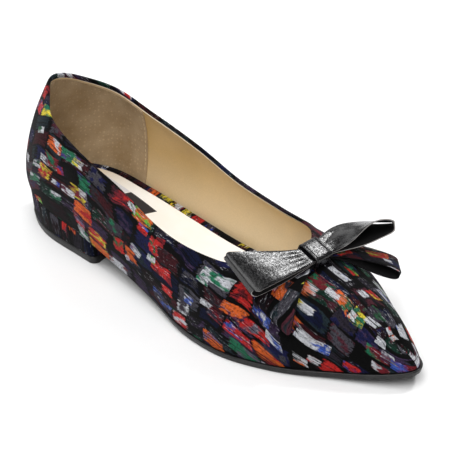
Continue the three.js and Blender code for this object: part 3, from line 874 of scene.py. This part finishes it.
def shifted(value, by):
    return lambda at: value(at) + by


def rounded_levels(low_inset, high_inset, low, high, radius, count=4):
    """Levels of a plate's side from its underside to its top, with both edges rounded."""
    turns = np.linspace(0, np.pi / 2, count + 1)
    rounding = list(zip(radius * (1 - np.sin(turns)), radius * (1 - np.cos(turns))))
    lower = [(shifted(low_inset, inward), shifted(low, upward)) for inward, upward in rounding]
    upper = [(shifted(high_inset, inward), shifted(high, -upward)) for inward, upward in rounding]
    return lower + upper[::-1]


def crown_share(share, right, left, soft):
    """How much of a plate's crown a place has: none at its edges, and less where it is narrow."""
    narrow = np.minimum(1, (right + left) / (BALL_WIDTH * CROWN_FADE))
    return (1 - np.abs(2 * share - 1) ** soft) * narrow


def plate_patches(start, end, levels, crown=0.0, hollow=0.0, columns=150, across=24, soft=2.0):
    places = round_ends(mix(angle_share(start), angle_share(end), steps(columns)))
    shares = steps(across)

    def level(inset, height, lift):
        right_x, right = plan(places, RIGHT, inset(places))
        left_x, left = plan(places, LEFT, inset(places))
        pulled = hollow * (1 - (2 * shares - 1) ** 2) * smooth((places[:, None] / end - 0.5) * 2)
        x = mix(right_x[:, None], left_x[:, None], shares) - pulled
        y = mix(-right[:, None], left[:, None], shares)
        z = height(places)[:, None] + lift * crown_share(shares, right[:, None], left[:, None], soft)
        return np.stack(np.broadcast_arrays(x, y, z), -1)

    grids = [level(inset, height, 0.0) for inset, height in levels]
    top = level(*levels[-1], crown)
    grids[-1] = top
    sides = []
    for edge in (0, -1):
        side = np.stack([grid[:, edge] for grid in grids], 1)
        run = lengths_along(side, 0)[:, :1] + LEFT_PRINT_SHIFT * edge
        rise = side[..., 2]
        sides.append({"points": side, "uv": np.stack(np.broadcast_arrays(run, rise), -1)})
    for row in (0, -1):
        cap = np.stack([grid[row] for grid in grids], 1)
        sides.append({"points": cap, "uv": np.stack([cap[..., 1], cap[..., 2]], -1)})
    return [{"points": top}, {"points": grids[0]}, *sides]


HEEL_END = HEEL_LENGTH / LENGTH
INSIDE_WALL = UPPER_WALL + GAP
SOLE_START = HEEL_END + GAP / LENGTH


def sole_inset(at):
    return mix(SHANK_INSET, -SOLE_EDGE, smooth((at - SOLE_START) / (BAND_END - SOLE_START)))


def sole_low_inset(at):
    share = smooth((at - SOLE_START) / (BAND_END - SOLE_START))
    return sole_inset(at) + mix(SHANK_BEVEL, SOLE_BEVEL, share)


def insole_inset(at):
    beside = (BAND_WIDTH + GAP) * (1 - smooth((at - BAND_END) / BAND_FADE))
    in_toe = INSOLE_TOE_ROOM * smooth((at - TOE_ROOM_FROM) / TOE_ROOM_FADE)
    return INSIDE_WALL + beside + in_toe


def constant(value):
    return lambda at: value + 0 * at


def heel_inset(value):
    """An inset that grows round the heel's front corners."""
    def rounded(at):
        past = clamp(at * LENGTH - HEEL_LENGTH + HEEL_CORNER, 0.0, HEEL_CORNER)
        return value + HEEL_CORNER - np.sqrt(HEEL_CORNER**2 - past**2)
    return rounded


sole_levels = rounded_levels(
    sole_low_inset, sole_inset, shifted(floor_at, -GAP - SOLE_THICK), shifted(floor_at, -GAP), 0.5
)
outsole = build("sole", plate_patches(SOLE_START, 1, sole_levels, columns=200), [sole_black])
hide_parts("outsole")

heel_levels = rounded_levels(
    heel_inset(HEEL_TAPER), heel_inset(0.0), constant(TOP_PIECE + GAP), shifted(floor_at, -GAP), 0.3, 2
)
heel_parts = plate_patches(0, HEEL_END, heel_levels, hollow=BREAST_HOLLOW, columns=300)
heel = build("heel_cover", heel_parts, [print_heel])
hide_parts("heel")

top_levels = rounded_levels(
    heel_inset(HEEL_TAPER + 0.4), heel_inset(HEEL_TAPER - 0.2), constant(0.0), constant(TOP_PIECE), 0.5
)
top_parts = plate_patches(0, HEEL_END, top_levels, hollow=BREAST_HOLLOW, columns=300)
top_piece = build("heel_top_piece", top_parts, [sole_black])
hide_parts("top_piece")

insole_levels = rounded_levels(
    insole_inset, insole_inset, floor_at, shifted(floor_at, INSOLE_THICK), INSOLE_ROUNDING
)
insole_parts = plate_patches(0, INSOLE_TIP, insole_levels, crown=INSOLE_CROWN, soft=INSOLE_SOFT)
insole = build("insole_pad", insole_parts, [cream])
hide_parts("insole")


INSOLE_PATCH = {"x": 50.5, "y": 1.0, "long": 42.0, "wide": 24.0, "turn": -4.0, "slant": 5.0}
PATCH_SINK = 0.05
PATCH_THICK = 0.2


def insole_height(x, y):
    at = x / LENGTH
    right = plan(at, RIGHT, insole_inset(at))[1]
    left = plan(at, LEFT, insole_inset(at))[1]
    crown = INSOLE_CROWN * crown_share((y + right) / (right + left), right, left, INSOLE_SOFT)
    return floor_at(at) + INSOLE_THICK + crown


def patch_half(from_share, to_share, material):
    """One half of the two-tone patch, a thin sheet that lies on the insole."""
    size = INSOLE_PATCH
    along = mix(from_share, to_share, steps(20))[:, None] * size["long"] - size["long"] / 2
    across = (steps(12) - 0.5)[None, :] * size["wide"]
    along = along + size["slant"] * across / size["wide"]
    turn = math.radians(size["turn"])
    x = size["x"] + along * math.cos(turn) - across * math.sin(turn)
    y = size["y"] + along * math.sin(turn) + across * math.cos(turn)
    low = np.stack([x, y, insole_height(x, y) - PATCH_SINK], -1)
    high = low + [0, 0, PATCH_THICK]
    edges = [(0, slice(None)), (-1, slice(None)), (slice(None), 0), (slice(None), -1)]
    sides = [{"points": np.stack([low[edge], high[edge]], 1), "material": material} for edge in edges]
    return [{"points": high, "material": material}, {"points": low, "material": material}, *sides]


patch_parts = patch_half(0.0, 0.5, 0) + patch_half(0.515, 1.0, 1)
build("insole_patch", patch_parts, [patch_pale, patch_dark])


# The band round the insole

def band_patches():
    reach = angle_share(BAND_END)
    count = 150
    shares = np.linspace(-1, 1, 2 * count + 1)
    places = round_ends(np.abs(shares) * reach)
    outline = []
    for inset, lift in band_profile():
        right = plan(places, RIGHT, INSIDE_WALL + inset)
        left = plan(places, LEFT, INSIDE_WALL + inset)
        x = np.where(shares < 0, right[0], left[0])
        y = np.where(shares < 0, -right[1], left[1])
        outline.append(np.stack([x, y, floor_at(places) + lift], -1))
    grid = np.stack(outline + outline[:1], 1)
    run = lengths_along(grid, 0)[:, :1]
    round_it = lengths_along(grid, 1)
    uv = np.stack(np.broadcast_arrays(run, round_it), -1)
    caps = [{"points": np.stack([grid[k, :4], grid[k, 7:3:-1]], 1)} for k in (0, -1)]
    return [{"points": grid, "uv": uv}, *caps]


def band_profile():
    """Eight corners of the band's rounded section, as inset and lift."""
    soft = 0.8
    wide = BAND_WIDTH
    tall = BAND_THICK
    return [
        (0.0, 0.0), (0.0, tall - soft), (soft * 0.3, tall - soft * 0.3), (soft, tall),
        (wide - soft, tall), (wide - soft * 0.3, tall - soft * 0.3), (wide, tall - soft), (wide, 0.0),
    ]


band = build("insole_edge_band", band_patches(), [print_heel])
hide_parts("insole_band")


# The bow

bow_base = skin(BOW_AT, 1.0, LEFT)
STACK = 2 * STRAP_THICK + STRAP_SLIT
KNOT_FLOOR = KNOT_LIFT + STRAP_THICK
PRINT_HEIGHT = KNOT_FLOOR + KNOT_ROOM + STACK / 2
LEATHER_HEIGHT = PRINT_HEIGHT + STACK + BOW_SPLIT
KNOT_CEILING = LEATHER_HEIGHT + STACK / 2 + KNOT_ROOM


def by_side(loops, name, share):
    column = LOOP_COLUMNS.index(name)
    return np.where(share < 0, loops["right"][column], loops["left"][column])


def past_knot(share):
    """How far a place on a bow is past the knot: 0 inside it and 1 at the end of its loop."""
    return clamp((np.abs(share) - LOOP_FROM) / (1 - LOOP_FROM), 0.0, 1.0)


def bow_point(u, v, w):
    x = bow_base[0] + w * math.cos(BOW_TILT) + v * math.sin(BOW_TILT)
    z = bow_base[2] - w * math.sin(BOW_TILT) + v * math.cos(BOW_TILT)
    return np.stack(np.broadcast_arrays(x, bow_base[1] + u, z), -1)


def standing_point(loops, share, v, w):
    """A loop that swings and twists as it leaves the knot."""
    share, v, w = np.broadcast_arrays(share, v, w)
    far = past_knot(share)
    out, ahead, up, bend = (by_side(loops, key, share) for key in ("out", "ahead", "up", "bend"))
    turned = mix(far, smooth(far), bend - 1)
    tilt = mix(BOW_TILT, np.radians(by_side(loops, "tilt", share)), turned)
    yaw = np.radians(by_side(loops, "yaw", share)) * turned
    swung = far**bend
    slope = bend * far ** (bend - 1) / (1 - LOOP_FROM) * np.sign(share)
    middle = np.stack([ahead * swung, out * share, up * swung], -1) * BOW_REACH
    run = np.stack([ahead * slope, out + 0 * share, up * slope], -1)
    level = np.cos(tilt)
    wide = np.stack([level * np.cos(yaw), -level * np.sin(yaw), -np.sin(tilt)], -1)
    high = unit(np.cross(wide, run))
    return bow_base + middle + wide * w[..., None] + high * v[..., None]


def draped_point(loops, share, v, w):
    """A right loop that lies down along the vamp."""
    far = np.abs(share)
    ahead = w * math.cos(BOW_TILT) + by_side(loops, "ahead", share) * BOW_REACH * smooth(far)
    at = BOW_AT + ahead / LENGTH
    fine = steps(120)
    section = skin(at[:, None], 1 - fine[None, :], RIGHT)
    run = lengths_along(section, 1)
    wanted = far * by_side(loops, "out", share) * BOW_REACH
    t = 1 - np.array([np.interp(wanted[k], run[k], fine) for k in range(len(at))])
    small = 0.002
    down = skin(at, np.maximum(t - small, 0), RIGHT) - skin(at, np.minimum(t + small, 1), RIGHT)
    along = skin(at + small, t, RIGHT) - skin(at - small, t, RIGHT)
    out = unit(np.cross(along, down)) * RIGHT
    return skin(at, t, RIGHT) + out * v[:, None]


def settled_point(loops, share, v, w):
    """A bow whose right loop lies down while the left one stands."""
    share, v, w = np.broadcast_arrays(share, v, w)
    points = standing_point(loops, share, v, w)
    right = share < 0
    points[right] = draped_point(loops, share[right], v[right], w[right])
    return points


def strap_patches(width, loops, height, settles, place, pleat):
    """A strap whose two layers part into a loop on each side of the knot."""
    pinch = (STRAP_THICK + STRAP_SLIT) / 2
    count = 260
    across = 16
    turns = 2 * np.pi * (np.arange(count + 1) + 0.5) / count

    def path(turn):
        share = np.cos(turn)
        far = past_knot(share)
        parted = smooth(far / LOOP_FADE)
        swell = (by_side(loops, "open", share) * BOW_REACH + STRAP_THICK) / 2
        lying = swell + STRAP_THICK / 2 + GAP if settles else height
        middle = mix(height, np.where(share < 0, lying, height), share**2)
        rounded = signed_power(np.sin(turn), by_side(loops, "round", share))
        pinched = mix(pinch, swell, parted * by_side(loops, "rear", share)) * rounded
        return share, middle, mix(pinch, swell, parted) * rounded, pinched

    share, middle, offset, pinched = path(turns)
    before = path(turns - 0.02)
    after = path(turns + 0.02)
    far = past_knot(share)
    reach = by_side(loops, "out", share) * BOW_REACH
    past = np.clip(LOOP_CORNER - reach * (1 - np.abs(share)), 0, LOOP_CORNER)
    half = mix(WAIST_WIDTH, width, far) / 2 - LOOP_CORNER + np.sqrt(LOOP_CORNER**2 - past**2)
    step_u = (after[0] - before[0]) * reach
    step_v = after[1] + after[2] - before[1] - before[2]
    size = np.hypot(step_u, step_v)
    thick_share = step_v / size / reach
    thick_v = -step_u / size
    edge = STRAP_THICK / 2
    spread = [2 * k / across - 1 for k in range(across + 1)]
    ring = [(value, 1) for value in spread] + [(value, -1) for value in spread[::-1]]
    ring.append(ring[0])
    columns = []
    for place_across, layer in ring:
        at_edge = abs(place_across) == 1
        w = place_across * (half - (STRAP_EDGE if at_edge else 0.0))
        depth = edge * layer * (STRAP_EDGE_THICK if at_edge else 1.0)
        wave = pleat * np.cos(2.5 * np.pi * place_across) * (1 - far) ** 2 * smooth(far * 8)
        v = middle + mix(pinched, offset, (place_across + 1) / 2)
        columns.append(place(loops, share + thick_share * depth, v + thick_v * depth + wave, w))
    grid = np.stack(columns, 1)
    run = lengths_along(grid, 0)[:, :1]
    over = lengths_along(grid, 1)
    uv = np.stack(np.broadcast_arrays(run + BOW_PRINT_SHIFT, over), -1)
    corners = (0, across, across + 1, 2 * across + 1, 2 * across + 2)
    patches = []
    for first, last, material in zip(corners, corners[1:], (0, 1, 2, 1)):
        chosen = slice(first, last + 1)
        patches.append({"points": grid[:, chosen], "uv": uv[:, chosen], "material": material})
    return patches


leather_parts = strap_patches(LEATHER_WIDTH, LEATHER_LOOPS, LEATHER_HEIGHT, False, standing_point, 0.25)
bow_leather = build("bow_of_leather", leather_parts, [leather, leather_edge, leather_back])
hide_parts("bow_leather")
print_parts = strap_patches(PRINT_WIDTH, PRINT_LOOPS, PRINT_HEIGHT, True, settled_point, 0.15)
bow_print = build("bow_of_print", print_parts, [print_upper, suede_back, suede_back])
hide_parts("bow_print")


def knot_patches():
    middle = (KNOT_FLOOR + KNOT_CEILING) / 2
    half_high = (KNOT_CEILING - KNOT_FLOOR) / 2
    half_long = WAIST_WIDTH / 2 + KNOT_ROOM
    turns = np.linspace(0, 2 * np.pi, 97)
    round_by = KNOT_SQUARENESS + KNOT_SOFTNESS
    c = signed_power(np.cos(turns), round_by)
    s = signed_power(np.sin(turns), round_by)
    half = KNOT_WIDTH / 2
    left = [
        (half - 0.3, 0), (half, 0.15), (half, 0.6), (half - 0.35, 0.82), (half - 1.1, 0.85),
        (half - 1.5, 0.62), (half / 2, 0.72),
    ]
    profile = [(0, 0), *left, (0, 0.78), *((-u, grow) for u, grow in left[::-1])]
    rings = [bow_point(u, middle + s * (half_high + grow), c * (half_long + grow)) for u, grow in profile]
    return [{"points": np.stack(rings + rings[:1], 1)}]


knot = build("bow_centre_strap", knot_patches(), [leather], sharp=60)
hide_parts("bow_knot")


# Floor, light and camera

CAMERA_PLACE = Vector((0.7367, -0.6724, 0.5690))
CAMERA_TARGET = Vector((0.0953, 0.0041, 0.0337))
FOCAL_PIXELS = 2184
IMAGE_SIZE = 450
SENSOR = 36.0


def make_floor():
    bpy.ops.mesh.primitive_plane_add(size=8, location=(0, 0, 0))
    floor = bpy.context.object
    floor.name = "floor"
    graph = Graph("floor_paper")
    fine = graph.noise(graph.place(), 0.5)
    colour = graph.blend((0.86, 0.86, 0.86, 1), (0.88, 0.88, 0.88, 1), fine)
    floor.data.materials.append(graph.finish(colour, 0.9))


LIGHTS = [
    ("key", (0.17, 0.89, 1.07), (0.26, 0.2), 8),
    ("fill", (0.7, -0.9, 1.5), (1.6, 1.6), 24),
    ("side", (-0.9, -0.4, 1.1), (0.9, 0.9), 10),
    ("top", (0.1, -0.2, 1.6), (0.8, 0.8), 6),
    ("back", (-0.7, 0.7, 0.9), (0.9, 0.9), 3.5),
]
LIGHTS_AIM = Vector((0.09, 0, 0.02))


def make_light(name, place, size, energy):
    light = bpy.data.lights.new(name, "AREA")
    light.shape = "RECTANGLE"
    light.size, light.size_y = size
    light.energy = energy
    aim(add_object(name, light), Vector(place), LIGHTS_AIM)


def make_world():
    world = bpy.data.worlds.new("studio")
    bpy.context.scene.world = world
    world.use_nodes = True
    background = world.node_tree.nodes["Background"]
    background.inputs["Color"].default_value = (1, 1, 1, 1)
    background.inputs["Strength"].default_value = 0.16


def make_camera():
    data = bpy.data.cameras.new("camera")
    data.sensor_width = SENSOR
    data.lens = FOCAL_PIXELS / IMAGE_SIZE * SENSOR
    data.clip_start = 0.05
    camera = add_object("camera", data)
    aim(camera, CAMERA_PLACE, CAMERA_TARGET)
    bpy.context.scene.camera = camera


make_floor()
make_world()
for light_row in LIGHTS:
    make_light(*light_row)
make_camera()
bpy.context.scene.view_settings.view_transform = "Standard"
bpy.context.scene.view_settings.look = "None"
